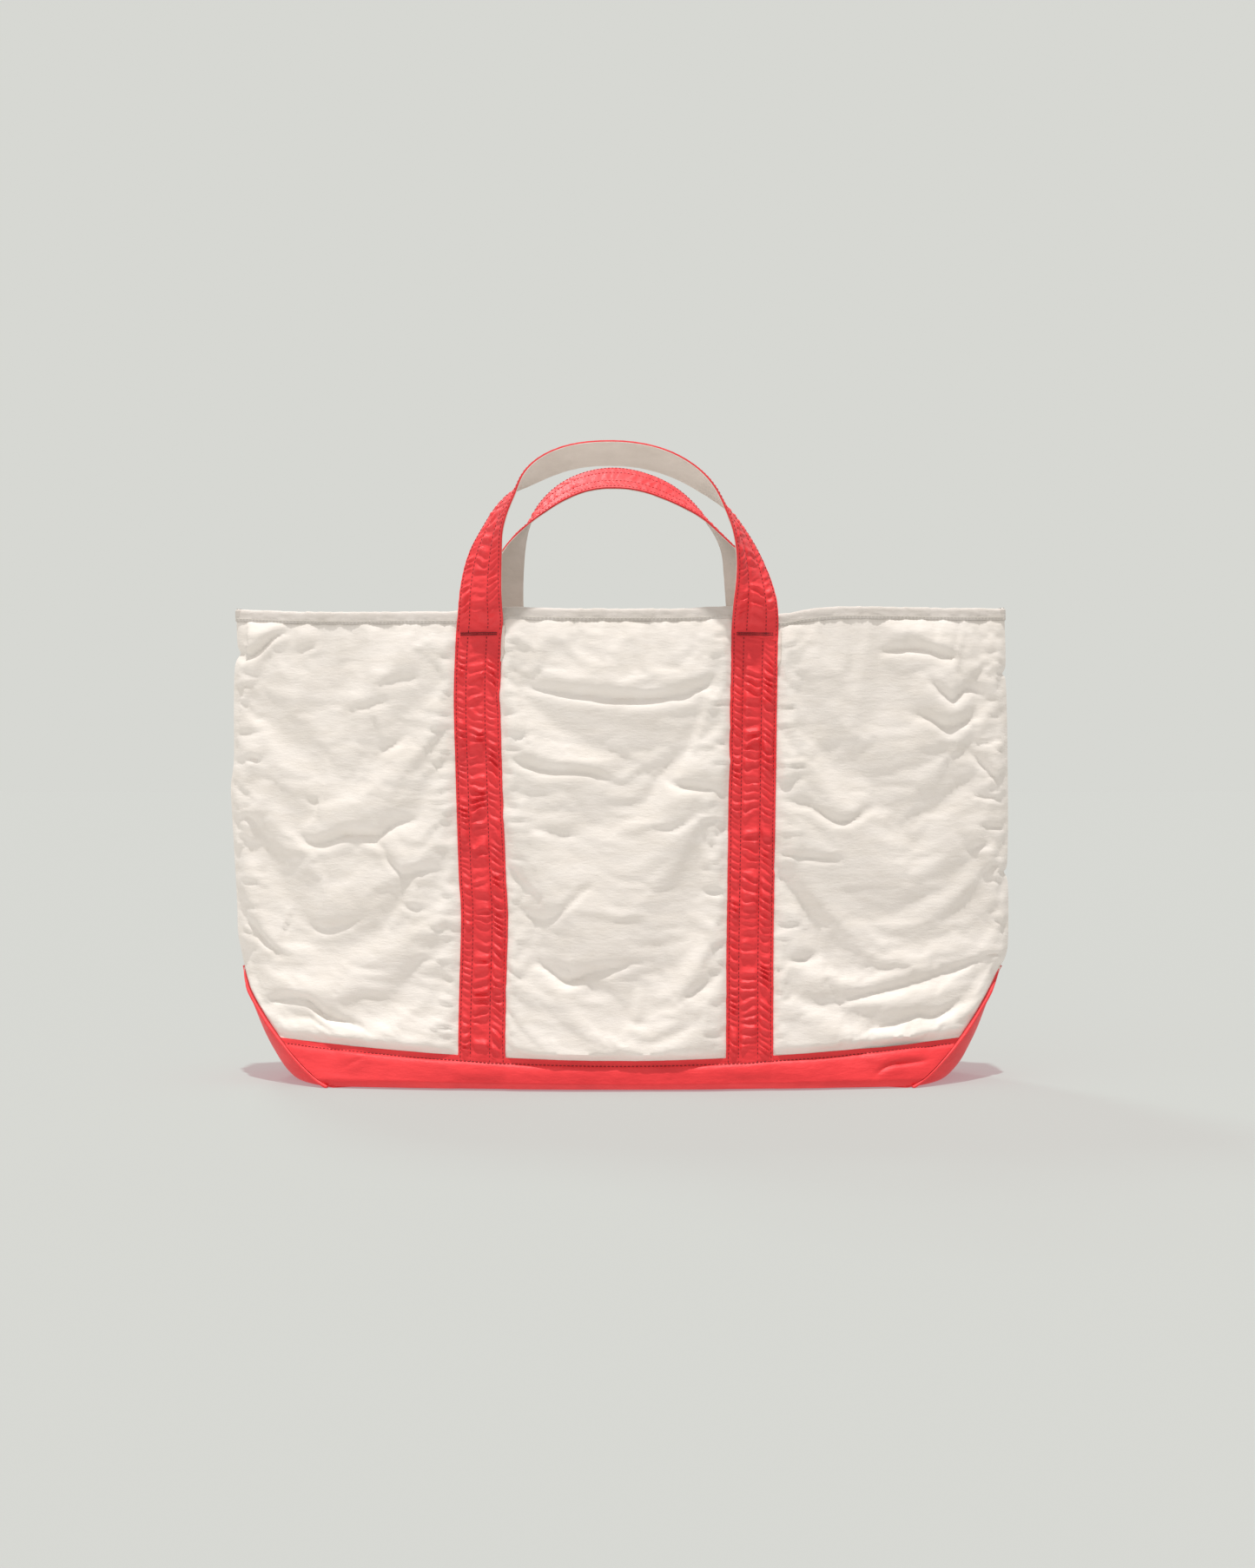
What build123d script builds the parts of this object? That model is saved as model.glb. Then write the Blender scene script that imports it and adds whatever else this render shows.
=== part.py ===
"""Foldable tote bag with a boat-shaped base, sewn straps and two carrying handles.

Frame: +Z up, X along the bag's length, -Y the front. The origin is on the floor under the middle
of the base. All sizes are millimetres.
"""

import math
import os

from build123d import *

os.makedirs("parts", exist_ok=True)

# The bag's outer form
RIM_Z = 385.0  # height of the rim
RIM_HALF_LENGTH = 321.0
RIM_HALF_DEPTH = 63.0  # at the middle of the open mouth
BASE_HALF_LENGTH = 230.0  # at the four corners of the base
BASE_HALF_DEPTH = 80.0  # at the middle of the base
CORNER_HALF_DEPTH = 64.0
APEX_Z = 97.0  # where the two ends of the base come to a point on the side seams
END_BULGE = 38.0  # how far the middle of each end stands out past the base's corners
END_RISE_POWER = 0.74  # how steeply the slanted lower corners rise
END_NARROWING_POWER = 0.9
SEAM_HALF_GAP = 1.6  # from the middle plane to the front or back wall, at the side seams
SEAM_STEP = 2.8  # how much further in each deeper layer of a wall ends at the side seams

# Layers, as (outer, inner) distances inwards from the outer form
SHELL = (0.0, 0.8)
WADDING = (1.0, 4.6)
LINING = (4.8, 5.4)
STRAP = (-1.4, -0.15)
BASE_BAND = (-2.2, -1.55)
BINDING_OUTSIDE = (-0.75, -0.15)
BINDING_INSIDE = (5.55, 6.15)

# Heights of the sewn pieces
WALL_FOOT_Z = 1.1
BAND_FOOT_Z = 0.6
BAND_TOP_Z = 34.0
STRAP_FOOT_Z = 26.0
BINDING_FOOT_Z = 376.5
BINDING_TOP_Z = 386.0
BINDING_FOLD_THICKNESS = 0.8  # where the tape turns over the rim
STRAP_TOP_Z = 368.0
SEAM_TAPE_FOOT_Z = 104.0
SEAM_TAPE_LENGTH = 22.0  # inwards from the side seam
SEAM_TAPE_HALF_THICKNESS = 1.2
SEAM_TAPE_ROUNDING = 1.08

# The base's own layers
BASE_PANEL_TOP_Z = 0.8
BASE_WADDING_TOP_Z = 5.0
BASE_LINING_FOOT_Z = 5.2
BASE_LINING_TOP_Z = 5.8
END_TOP_Z = 95.0
END_PADDING_TOP_Z = 76.0
END_SHELL = (1.3, 0.3)  # each end layer, as (outer, inner) offsets outwards from the form
END_WADDING = (-0.5, -5.5)
END_LINING = (-5.8, -6.8)
BASE_PANEL_INSET = 0.3
BASE_INNER_INSET = 7.5
INNER_MARGIN = 9.5  # keeps the base's inner layers inside the walls' lining

# Straps and handles
STRAP_X = 111.0  # the middle of each strap, left and right
STRAP_WIDTH = 38.0
HANDLE_FOOT_Z = 368.7
HANDLE_FOOT_Y = 58.4
HANDLE_TOP_Y = 62.0
HANDLE_TOP_Z = 511.0
HANDLE_ARCH_Z = 385.0  # the legs are straight up to here
ARCH_POWER = 2.5  # roundness of the arch
HANDLE_STRAP_THICKNESS = 1.2
HANDLE_BACKING_WIDTH = 36.0
HANDLE_BACKING_THICKNESS = 0.8
HANDLE_BACKING_GAP = 0.1
FOOT_TWIST = 7.3  # degrees, so that the legs lie along the curved wall
TWIST_POWER = 0.7
TWIST_START_Z = 388.0  # just above the rim
GRIP_TILT = {"front": 27.0, "back": 39.0}  # degrees past edge-on at the top of the arch
LEG_STATIONS = 2
ARCH_STATIONS = 20

BARTACK_ROWS = 2
BARTACK_LENGTH = 32.0
BARTACK_HEIGHT = 2.0
BARTACK_SPACING = 2.6
BARTACK_TOP_Z = 366.0
BARTACK_SKIN = (-2.0, -1.5)

LEVELS = (WALL_FOOT_Z, 6.0, 14.0, 26.0, 45.0, 70.0, END_TOP_Z, APEX_Z)  # where sections are cut
SIDES = {"front": -1, "back": 1}


def wall_depth(z):
    """Half of the form's depth at the middle of the bag."""
    return BASE_HALF_DEPTH + (RIM_HALF_DEPTH - BASE_HALF_DEPTH) * z / RIM_Z


def seam_x(z):
    """Half of the form's length at the seam between wall and base end, or at the side seam."""
    rise = min(z / APEX_Z, 1.0)
    return BASE_HALF_LENGTH + (RIM_HALF_LENGTH - BASE_HALF_LENGTH) * rise**END_RISE_POWER


def seam_y(z):
    """Half of the form's depth at that same seam."""
    rise = min(z / APEX_Z, 1.0)
    return max(SEAM_HALF_GAP, CORNER_HALF_DEPTH * (1 - rise**END_NARROWING_POWER))


def end_bulge(z):
    """How far the middle of the base's end stands out past its seams."""
    return END_BULGE * max(0.0, 1 - z / APEX_Z)


def levels_between(foot, top):
    """The heights at which a piece from foot to top is cut into sections."""
    return [foot, *(z for z in LEVELS if foot < z < top), top]


def wall_section(z, layer, side):
    """A thin crescent: one layer of a wall, cut level at height z."""
    corner = seam_y(z) / CORNER_HALF_DEPTH  # 1 at the base's corners, 0 at the side seams
    with BuildSketch(Plane.XY.offset(z)) as section:
        with BuildLine():
            arcs = []
            for inset in layer:
                end_x = seam_x(z) - SEAM_STEP * (1 - corner) * inset
                end_y = side * (seam_y(z) - corner * inset)
                middle = (0, side * (wall_depth(z) - inset))
                arcs.append(ThreePointArc((-end_x, end_y), middle, (end_x, end_y)))
            Line(arcs[0] @ 0, arcs[1] @ 0)
            Line(arcs[0] @ 1, arcs[1] @ 1)
        make_face()
    return section.sketch


def wall_sections(layer, side, foot, top):
    """Sections of one wall layer from foot to top, with all the levels that its shape needs."""
    return [wall_section(z, layer, side) for z in levels_between(foot, top)]


def end_x_at(z, offset, margin):
    """Where a base end layer meets the line that runs margin inside the seam."""
    share = (seam_y(z) - margin) / seam_y(z)
    return seam_x(z) + offset + end_bulge(z) * (1 - share**2)


def end_section(z, offsets, margin):
    """A thin crescent: one layer of the right-hand base end, cut level at height z."""
    half = seam_y(z) - margin
    with BuildSketch(Plane.XY.offset(z)) as section:
        with BuildLine():
            arcs = []
            for offset in offsets:
                x = end_x_at(z, offset, margin)
                middle = (seam_x(z) + end_bulge(z) + offset, 0)
                arcs.append(ThreePointArc((x, -half), middle, (x, half)))
            Line(arcs[0] @ 0, arcs[1] @ 0)
            Line(arcs[0] @ 1, arcs[1] @ 1)
        make_face()
    return section.sketch


def base_outline(z, side_inset, offset, margin):
    """The boat-shaped outline of the base at height z."""
    half = seam_y(z) - margin
    x = end_x_at(z, offset, margin)
    tip = seam_x(z) + end_bulge(z) + offset
    depth = wall_depth(z) - side_inset
    with BuildSketch(Plane.XY.offset(z)) as outline:
        with BuildLine():
            ThreePointArc((-x, -half), (0, -depth), (x, -half))
            ThreePointArc((x, -half), (tip, 0), (x, half))
            ThreePointArc((x, half), (0, depth), (-x, half))
            ThreePointArc((-x, half), (-tip, 0), (-x, -half))
        make_face()
    return outline.sketch


def handle_stations(side, tilt):
    """Planes along one handle: origin on its middle line, x across the strap, y out of its red face."""
    points = [
        (STRAP_X, HANDLE_FOOT_Z + (HANDLE_ARCH_Z - HANDLE_FOOT_Z) * i / LEG_STATIONS)
        for i in range(LEG_STATIONS)
    ]
    for i in range(ARCH_STATIONS + 1):
        angle = math.pi / 2 * i / ARCH_STATIONS
        x = STRAP_X * max(0.0, math.cos(angle)) ** (2 / ARCH_POWER)
        rise = math.sin(angle) ** (2 / ARCH_POWER)
        points.append((x, HANDLE_ARCH_Z + (HANDLE_TOP_Z - HANDLE_ARCH_Z) * rise))
    points[-1] = (0.0, HANDLE_TOP_Z)
    lengths = [0.0]
    for a, b in zip(points, points[1:]):
        lengths.append(lengths[-1] + math.dist(a, b))

    half = []  # from the foot of the right leg to the top
    leg = TWIST_START_Z - HANDLE_FOOT_Z
    for i, (x, z) in enumerate(points):
        share = lengths[i] / lengths[-1]
        y = side * (HANDLE_FOOT_Y + (HANDLE_TOP_Y - HANDLE_FOOT_Y) * share)
        turned = max(0.0, (lengths[i] - leg) / (lengths[-1] - leg)) ** TWIST_POWER
        twist = math.radians(FOOT_TWIST + (90 + tilt - FOOT_TWIST) * turned)
        before, after = points[max(i - 1, 0)], points[min(i + 1, len(points) - 1)]
        along = Vector(after[0] - before[0], 0, after[1] - before[1]).normalized()
        if i == len(points) - 1:
            along = Vector(-1, 0, 0)
        outward = Vector(along.Z, 0, -along.X)
        face = Vector(0, side, 0) * math.cos(twist) + outward * math.sin(twist)
        half.append((Vector(x, y, z), along, face))
    mirrored = [
        (Vector(-p.X, p.Y, p.Z), Vector(t.X, 0, -t.Z), Vector(-f.X, f.Y, f.Z))
        for p, t, f in reversed(half[:-1])
    ]
    planes = []
    for origin, along, face in half + mirrored:
        planes.append(Plane(origin=origin, x_dir=face.cross(along), z_dir=along))
    return planes


def handle_sections(planes, width, thickness, offset):
    """One rectangle on each station of a handle, moved off the middle line towards its red face."""
    sections = []
    for plane in planes:
        with BuildSketch(plane) as section:
            with Locations((0, offset)):
                Rectangle(width, thickness)
        sections.append(section.sketch)
    return sections


def save(builder, name):
    """Label one finished piece and write it out."""
    builder.part.label = name
    export_step(builder.part, f"parts/{name}.step")


# ---- The base: outer panel, wadding and lining, each with its two pointed ends ----

# (name, (plate foot, plate top, end top), inset at the sides, offsets at the ends, margin)
BASE_LAYERS = (
    (
        "base_panel",
        (0.0, BASE_PANEL_TOP_Z, END_TOP_Z),
        BASE_PANEL_INSET,
        END_SHELL,
        0.0,
    ),
    (
        "base_wadding",
        (WALL_FOOT_Z, BASE_WADDING_TOP_Z, END_PADDING_TOP_Z),
        BASE_INNER_INSET,
        END_WADDING,
        INNER_MARGIN,
    ),
    (
        "base_lining",
        (BASE_LINING_FOOT_Z, BASE_LINING_TOP_Z, END_PADDING_TOP_Z),
        BASE_INNER_INSET,
        END_LINING,
        INNER_MARGIN,
    ),
)
for name, (foot, plate_top, end_top), side_inset, offsets, margin in BASE_LAYERS:
    with BuildPart() as base_layer:
        extrude(base_outline(foot, side_inset, offsets[0], margin), plate_top - foot)
        loft([end_section(z, offsets, margin) for z in levels_between(foot, end_top)], ruled=True)
        mirror(about=Plane.YZ)
    save(base_layer, name)

# ---- The taped seam allowances that join front and back at the sides ----

for name, direction in (("left_seam_tape", -1), ("right_seam_tape", 1)):
    with BuildPart() as seam_tape:
        with Locations((direction * (RIM_HALF_LENGTH - SEAM_TAPE_LENGTH / 2), 0, SEAM_TAPE_FOOT_Z)):
            Box(
                SEAM_TAPE_LENGTH,
                2 * SEAM_TAPE_HALF_THICKNESS,
                RIM_Z - SEAM_TAPE_FOOT_Z,
                align=(Align.CENTER, Align.CENTER, Align.MIN),
            )
        fillet(seam_tape.edges().filter_by(Axis.Z), SEAM_TAPE_ROUNDING)
    save(seam_tape, name)

# ---- The front and the back: walls, trim, straps and handles ----

for side_name, side in SIDES.items():
    for layer_name, layer in (("panel", SHELL), ("wadding", WADDING), ("lining", LINING)):
        with BuildPart() as wall_layer:
            loft(wall_sections(layer, side, WALL_FOOT_Z, RIM_Z), ruled=True)
        save(wall_layer, f"{side_name}_{layer_name}")

    with BuildPart() as base_band:
        loft(wall_sections(BASE_BAND, side, BAND_FOOT_Z, BAND_TOP_Z), ruled=True)
    save(base_band, f"{side_name}_base_band")

    with BuildPart() as rim_binding:
        loft(wall_sections(BINDING_OUTSIDE, side, BINDING_FOOT_Z, BINDING_TOP_Z), ruled=True)
        loft(wall_sections(BINDING_INSIDE, side, BINDING_FOOT_Z, BINDING_TOP_Z), ruled=True)
        whole_rim = (BINDING_OUTSIDE[0], BINDING_INSIDE[1])
        fold_foot = BINDING_TOP_Z - BINDING_FOLD_THICKNESS
        loft(wall_sections(whole_rim, side, fold_foot, BINDING_TOP_Z), ruled=True)
    save(rim_binding, f"{side_name}_rim_binding")

    for strap_name, direction in (("left", -1), ("right", 1)):
        with BuildPart() as strap:
            loft(wall_sections(STRAP, side, STRAP_FOOT_Z, STRAP_TOP_Z), ruled=True)
            with Locations((direction * STRAP_X, side * BASE_HALF_DEPTH, RIM_Z / 2)):
                Box(STRAP_WIDTH, 2 * BASE_HALF_DEPTH, RIM_Z, mode=Mode.INTERSECT)
        save(strap, f"{side_name}_strap_{strap_name}")

    with BuildPart() as bartacks:
        for row in range(BARTACK_ROWS):
            top = BARTACK_TOP_Z - row * BARTACK_SPACING
            loft(wall_sections(BARTACK_SKIN, side, top - BARTACK_HEIGHT, top), ruled=True)
        blocks = [
            Pos(d * STRAP_X, side * BASE_HALF_DEPTH, BARTACK_TOP_Z)
            * Box(BARTACK_LENGTH, 2 * BASE_HALF_DEPTH, BARTACK_LENGTH, mode=Mode.PRIVATE)
            for d in (-1, 1)
        ]
        add(blocks, mode=Mode.INTERSECT)
    save(bartacks, f"{side_name}_bartacks")

    stations = handle_stations(side, GRIP_TILT[side_name])
    with BuildPart() as handle_strap:
        offset = HANDLE_STRAP_THICKNESS / 2
        loft(handle_sections(stations, STRAP_WIDTH, HANDLE_STRAP_THICKNESS, offset), ruled=True)
    save(handle_strap, f"{side_name}_handle_strap")

    with BuildPart() as handle_backing:
        offset = -HANDLE_BACKING_THICKNESS / 2 - HANDLE_BACKING_GAP
        loft(
            handle_sections(stations, HANDLE_BACKING_WIDTH, HANDLE_BACKING_THICKNESS, offset),
            ruled=True,
        )
    save(handle_backing, f"{side_name}_handle_backing")
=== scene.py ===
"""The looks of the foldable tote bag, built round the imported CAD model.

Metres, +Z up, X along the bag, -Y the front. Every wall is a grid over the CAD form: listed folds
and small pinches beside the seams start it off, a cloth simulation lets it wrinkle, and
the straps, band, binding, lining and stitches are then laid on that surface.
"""

import math

import bmesh
import bpy
import numpy as np
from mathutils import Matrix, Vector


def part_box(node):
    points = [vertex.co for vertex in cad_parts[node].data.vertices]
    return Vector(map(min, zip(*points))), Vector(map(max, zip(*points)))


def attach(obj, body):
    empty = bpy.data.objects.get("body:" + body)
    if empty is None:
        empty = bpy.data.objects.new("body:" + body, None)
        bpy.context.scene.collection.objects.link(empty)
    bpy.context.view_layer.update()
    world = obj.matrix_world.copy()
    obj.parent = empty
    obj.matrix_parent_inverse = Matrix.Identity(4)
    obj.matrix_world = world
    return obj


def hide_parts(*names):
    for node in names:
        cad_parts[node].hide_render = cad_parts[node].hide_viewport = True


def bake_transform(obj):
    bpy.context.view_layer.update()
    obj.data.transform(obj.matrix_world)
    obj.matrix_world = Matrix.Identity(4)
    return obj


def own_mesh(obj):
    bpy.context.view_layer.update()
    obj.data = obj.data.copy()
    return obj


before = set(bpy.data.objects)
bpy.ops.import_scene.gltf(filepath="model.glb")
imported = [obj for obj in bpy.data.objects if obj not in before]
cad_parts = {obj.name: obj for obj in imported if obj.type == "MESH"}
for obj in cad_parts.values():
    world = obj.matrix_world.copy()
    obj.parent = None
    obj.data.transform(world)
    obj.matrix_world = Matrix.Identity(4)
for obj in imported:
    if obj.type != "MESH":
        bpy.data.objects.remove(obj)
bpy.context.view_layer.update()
MM = 0.001

# ---- sizes, from the frame

PANEL_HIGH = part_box("front_panel")[1]
STRAP_LOW, STRAP_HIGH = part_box("front_strap_right")

RIM_Z = float(PANEL_HIGH[2])
HALF_LENGTH = float(PANEL_HIGH[0])
STRAP_WIDTH = float(STRAP_HIGH[0]) - float(STRAP_LOW[0])
BARTACK_Z = float(STRAP_HIGH[2])

# ---- sizes, as in the CAD form

FOOT_HALF_DEPTH = 0.080  # half the bag's depth at the floor and at the rim
RIM_HALF_DEPTH = 0.063
CORNER_X = 0.230  # the base's corners, and the point of its red ends
CORNER_Y = 0.064
APEX_Z = 0.097
END_BULGE = 0.038
SEAM_POWER = 0.74  # how the lower seams curve from corner to apex, seen from the front
SEAM_BOW = 2.6 * MM
SEAM_CLOSING = 0.9  # and seen from the end
SEAM_GAP = 0.3 * MM  # how near a wall comes to the middle plane
FOOT_ROUND = 4.8 * MM

# ---- sizes, of the cloth

SIDE_NAMES = {-1: "front", 1: "back"}
HANDS = ((-1, "left"), (1, "right"))
RED_TOP_Z = 0.0925
WALL_THICKNESS = 4.6 * MM
WALL_FOOT_Z = 2.8 * MM
BAND_FOOT_Z = 2.4 * MM
BAND_REACH = 1.16  # the band's half length over the base's
LINING_DEPTH = 5.2 * MM
LINING_THICKNESS = 0.5 * MM
STRAP_EDGE = 17.5 * MM
STITCH_ROWS = (-17.2 * MM, -8.6 * MM, 6.6 * MM, 17.2 * MM)
TAIL_FOOT_Z = 0.338
HANDLE_TOP_Z = 0.5105
HANDLE_ARCH_Z = 0.385
HANDLE_FOOT_Y = 0.0584
HANDLE_TOP_Y = 0.062
# By wall and hand: where the top of the loop is, where its leg stands, and how square it is.
HANDLE_TOP_X = {-1: -0.008, 1: -0.006}
HANDLE_LEG_X = {(-1, -1): -0.1125, (-1, 1): 0.109, (1, -1): -0.1030, (1, 1): 0.111}
HANDLE_POWER = {(-1, -1): 2.4, (-1, 1): 2.2, (1, -1): 2.1, (1, 1): 1.9}
# How far each leg has turned towards the grip, in degrees, by its share of the way up.
HANDLE_TWIST = {
    (-1, -1): (
        (0, 5), (0.05, 12), (0.105, 20), (0.152, 25), (0.235, 33), (0.32, 44), (0.41, 60),
        (0.506, 70), (0.58, 79), (0.63, 93), (0.70, 104), (0.80, 109), (1, 110),
    ),
    (-1, 1): (
        (0, 5), (0.05, 10), (0.105, 18), (0.152, 30), (0.235, 47), (0.32, 61), (0.41, 73),
        (0.494, 82), (0.56, 93), (0.65, 103), (0.80, 109), (1, 110),
    ),
    (1, -1): (
        (0, 5), (0.05, 9), (0.105, 16), (0.15, 22), (0.25, 38), (0.36, 57), (0.43, 70),
        (0.50, 85), (0.57, 98), (0.65, 110), (0.72, 116), (0.80, 121), (1, 126),
    ),
    (1, 1): (
        (0, 5), (0.05, 8), (0.105, 14), (0.21, 30), (0.30, 50), (0.37, 68), (0.41, 79),
        (0.48, 90), (0.57, 98), (0.65, 108), (0.72, 115), (0.80, 120), (1, 126),
    ),
}

# The rim's height along the bag, and how far the side edges stand out, in millimetres.
RIM_HEIGHT = (
    (-321, 386), (-270, 383), (-218, 381), (-129, 379.8), (-88, 383), (-66, 382), (-15, 381),
    (40, 381), (75, 382.6), (92, 383.2), (127, 377.6), (150, 381), (178, 384), (230, 385),
    (290, 386), (321, 387),
)
LEFT_EDGE = (
    (0, 0), (66, 0), (80, -1.6), (90, -4.0), (97, -5.6), (106, -4), (121, -1.4), (149, -0.5),
    (218, 3.5), (242, 4.5), (265, 2), (310, 2), (340, 1), (350, -3.5), (358, -1), (385, 0),
)
RIGHT_EDGE = (
    (0, 0), (70, -1), (88, -1.5), (97, 0), (112, 3), (160, 3), (171, -0.5), (180, 2.5),
    (240, 3), (322, 1.5), (333, -2), (341, 1), (385, 0),
)

# The middle of each sewn strap by height, in millimetres: they wander a little on the way up.
STRAP_LINES = {
    (-1, -1): (
        (0, -110), (60, -110), (135, -108.5), (175, -110.5), (245, -113), (315, -115),
        (368, -113.5), (385, -112.5),
    ),
    (-1, 1): (
        (0, 103), (60, 103.5), (120, 104), (175, 105), (245, 106.2), (315, 107.4),
        (368, 108.6), (385, 109),
    ),
    (1, -1): ((0, -107), (175, -106), (300, -104), (385, -103)),
    (1, 1): ((0, 108), (175, 109), (300, 110.5), (385, 111)),
}


# ---- the form of the bag


def seam_x(z):
    """How far from the middle a wall's side edge stands at a height."""
    rise = np.clip(z / APEX_Z, 0, 1)
    bow = SEAM_BOW * np.sin(math.pi * rise)
    return CORNER_X + (HALF_LENGTH - CORNER_X) * rise**SEAM_POWER + bow


def seam_y(z):
    """How far from the middle plane that edge stands."""
    rise = np.clip(z / APEX_Z, 0, 1)
    return np.maximum(SEAM_GAP, CORNER_Y * (1 - rise**SEAM_CLOSING))


def wall_depth(z):
    """How far from the middle plane the middle of a wall stands."""
    return FOOT_HALF_DEPTH + (RIM_HALF_DEPTH - FOOT_HALF_DEPTH) * z / RIM_Z


def form_point(side, x, z):
    """The smooth outer form of a wall: an arc at each height, rounded under at the foot."""
    half, edge = seam_x(z), seam_y(z)
    sag = wall_depth(z) - edge
    radius = (half**2 + sag**2) / (2 * sag)
    y = wall_depth(z) - radius + np.sqrt(np.maximum(radius**2 - x**2, 0))
    below = np.clip(FOOT_ROUND - z, 0, FOOT_ROUND)
    tuck = FOOT_ROUND - np.sqrt(FOOT_ROUND**2 - below**2)
    y = y - tuck * (1 - np.clip(np.abs(x) / half, 0, 1) ** 6)
    return np.stack([x, side * np.maximum(y, SEAM_GAP), z + 0 * x], -1)


def form_normal(side, x, z):
    """The outward normal of that form."""
    step = 0.5 * MM
    along = form_point(side, x + step, z) - form_point(side, x - step, z)
    z_high, z_low = np.minimum(z + step, RIM_Z), np.maximum(z - step, 0)
    up = form_point(side, x, z_high) - form_point(side, x, z_low)
    normal = np.cross(along, up)
    normal /= np.linalg.norm(normal, axis=-1, keepdims=True)
    return normal * np.where(normal[..., 1:2] * side < 0, -1, 1)


def smooth_line(pairs, x):
    """A smooth curve through (place, value) pairs in millimetres, read at x in metres."""
    curve = spline(np.array(pairs) * MM, 200)
    return np.interp(x, curve[:, 0], curve[:, 1])


def strap_x(side, hand, z):
    """The middle of a sewn strap at a height."""
    return smooth_line(STRAP_LINES[side, hand], z)


def rim_rise(x, z):
    """How far the rim's uneven height lifts a wall's points; it dies away down the wall."""
    return (smooth_line(RIM_HEIGHT, x) - RIM_Z + 2 * MM) * smooth_step((z - 0.25) / 0.11)


def edge_shift(x, z):
    """Sideways shift of a wall's points, all of it at the side edges."""
    share = np.clip(np.abs(x) / seam_x(z), 0, 1) ** 10
    left, right = smooth_line(LEFT_EDGE, z), smooth_line(RIGHT_EDGE, z)
    return np.where(x < 0, -left, right) * share


def settle(side, points, x, z):
    """Move a wall's points out to the uneven rim and edges, on their side of the middle plane."""
    points[..., 0] += edge_shift(x, z)
    points[..., 2] += rim_rise(x, z)
    points[..., 1] = side * np.maximum(side * points[..., 1], SEAM_GAP)


def band_top(x):
    """The upper edge of the red band round the foot: lower in the middle than at the ends."""
    return (24 + 11.5 * np.clip(np.abs(x) / 0.25, 0, 1.1) ** 1.8) * MM


# ---- noise and folds


def lattice_noise(x, z, size_x, size_z, seed):
    """Smooth noise from -1 to 1 with cells of size_x by size_z millimetres."""
    rng = np.random.default_rng(seed)
    table = rng.uniform(-1, 1, (64, 64))
    u, v = x / (size_x * MM) + 31.7, z / (size_z * MM) + 17.3
    i, j = np.floor(u).astype(int), np.floor(v).astype(int)
    a, b = u - i, v - j
    a, b = a * a * (3 - 2 * a), b * b * (3 - 2 * b)
    i, j = i % 63, j % 63
    low = table[i, j] * (1 - a) + table[i + 1, j] * a
    high = table[i, j + 1] * (1 - a) + table[i + 1, j + 1] * a
    return low * (1 - b) + high * b


def hump(t):
    """Rises from 0 to 1 at t = 1 and dies away."""
    t = np.maximum(t, 0)
    return t * np.exp(1 - t)


def smooth_step(t):
    """Rises smoothly from 0 at t = 0 to 1 at t = 1."""
    t = np.clip(t, 0, 1)
    return t * t * (3 - 2 * t)


def spline(points, count):
    """count points on a smooth curve through a few given ones."""
    points = np.array(points, float)
    padded = np.vstack([2 * points[0] - points[1], points, 2 * points[-1] - points[-2]])
    share = np.linspace(0, len(points) - 1 - 1e-9, count)
    i = share.astype(int)
    t = (share - i)[:, None]
    p0, p1, p2, p3 = (padded[i + k] for k in range(4))
    return 0.5 * (
        2 * p1 + (p2 - p0) * t + (2 * p0 - 5 * p1 + 4 * p2 - p3) * t**2
        + (3 * p1 - p0 - 3 * p2 + p3) * t**3
    )


def read_line(run, values, place):
    """A line's values at a distance along it."""
    return np.array([np.interp(place, run, column) for column in values.T])


def run_along(path):
    """How far along a line each of its points lies."""
    steps = np.linalg.norm(np.diff(path, axis=0), axis=1)
    return np.concatenate([[0], np.cumsum(steps)])


def nearest(values, target):
    """The place in a row of values that comes nearest to a target."""
    return int(np.argmin(np.abs(values - target)))


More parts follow.
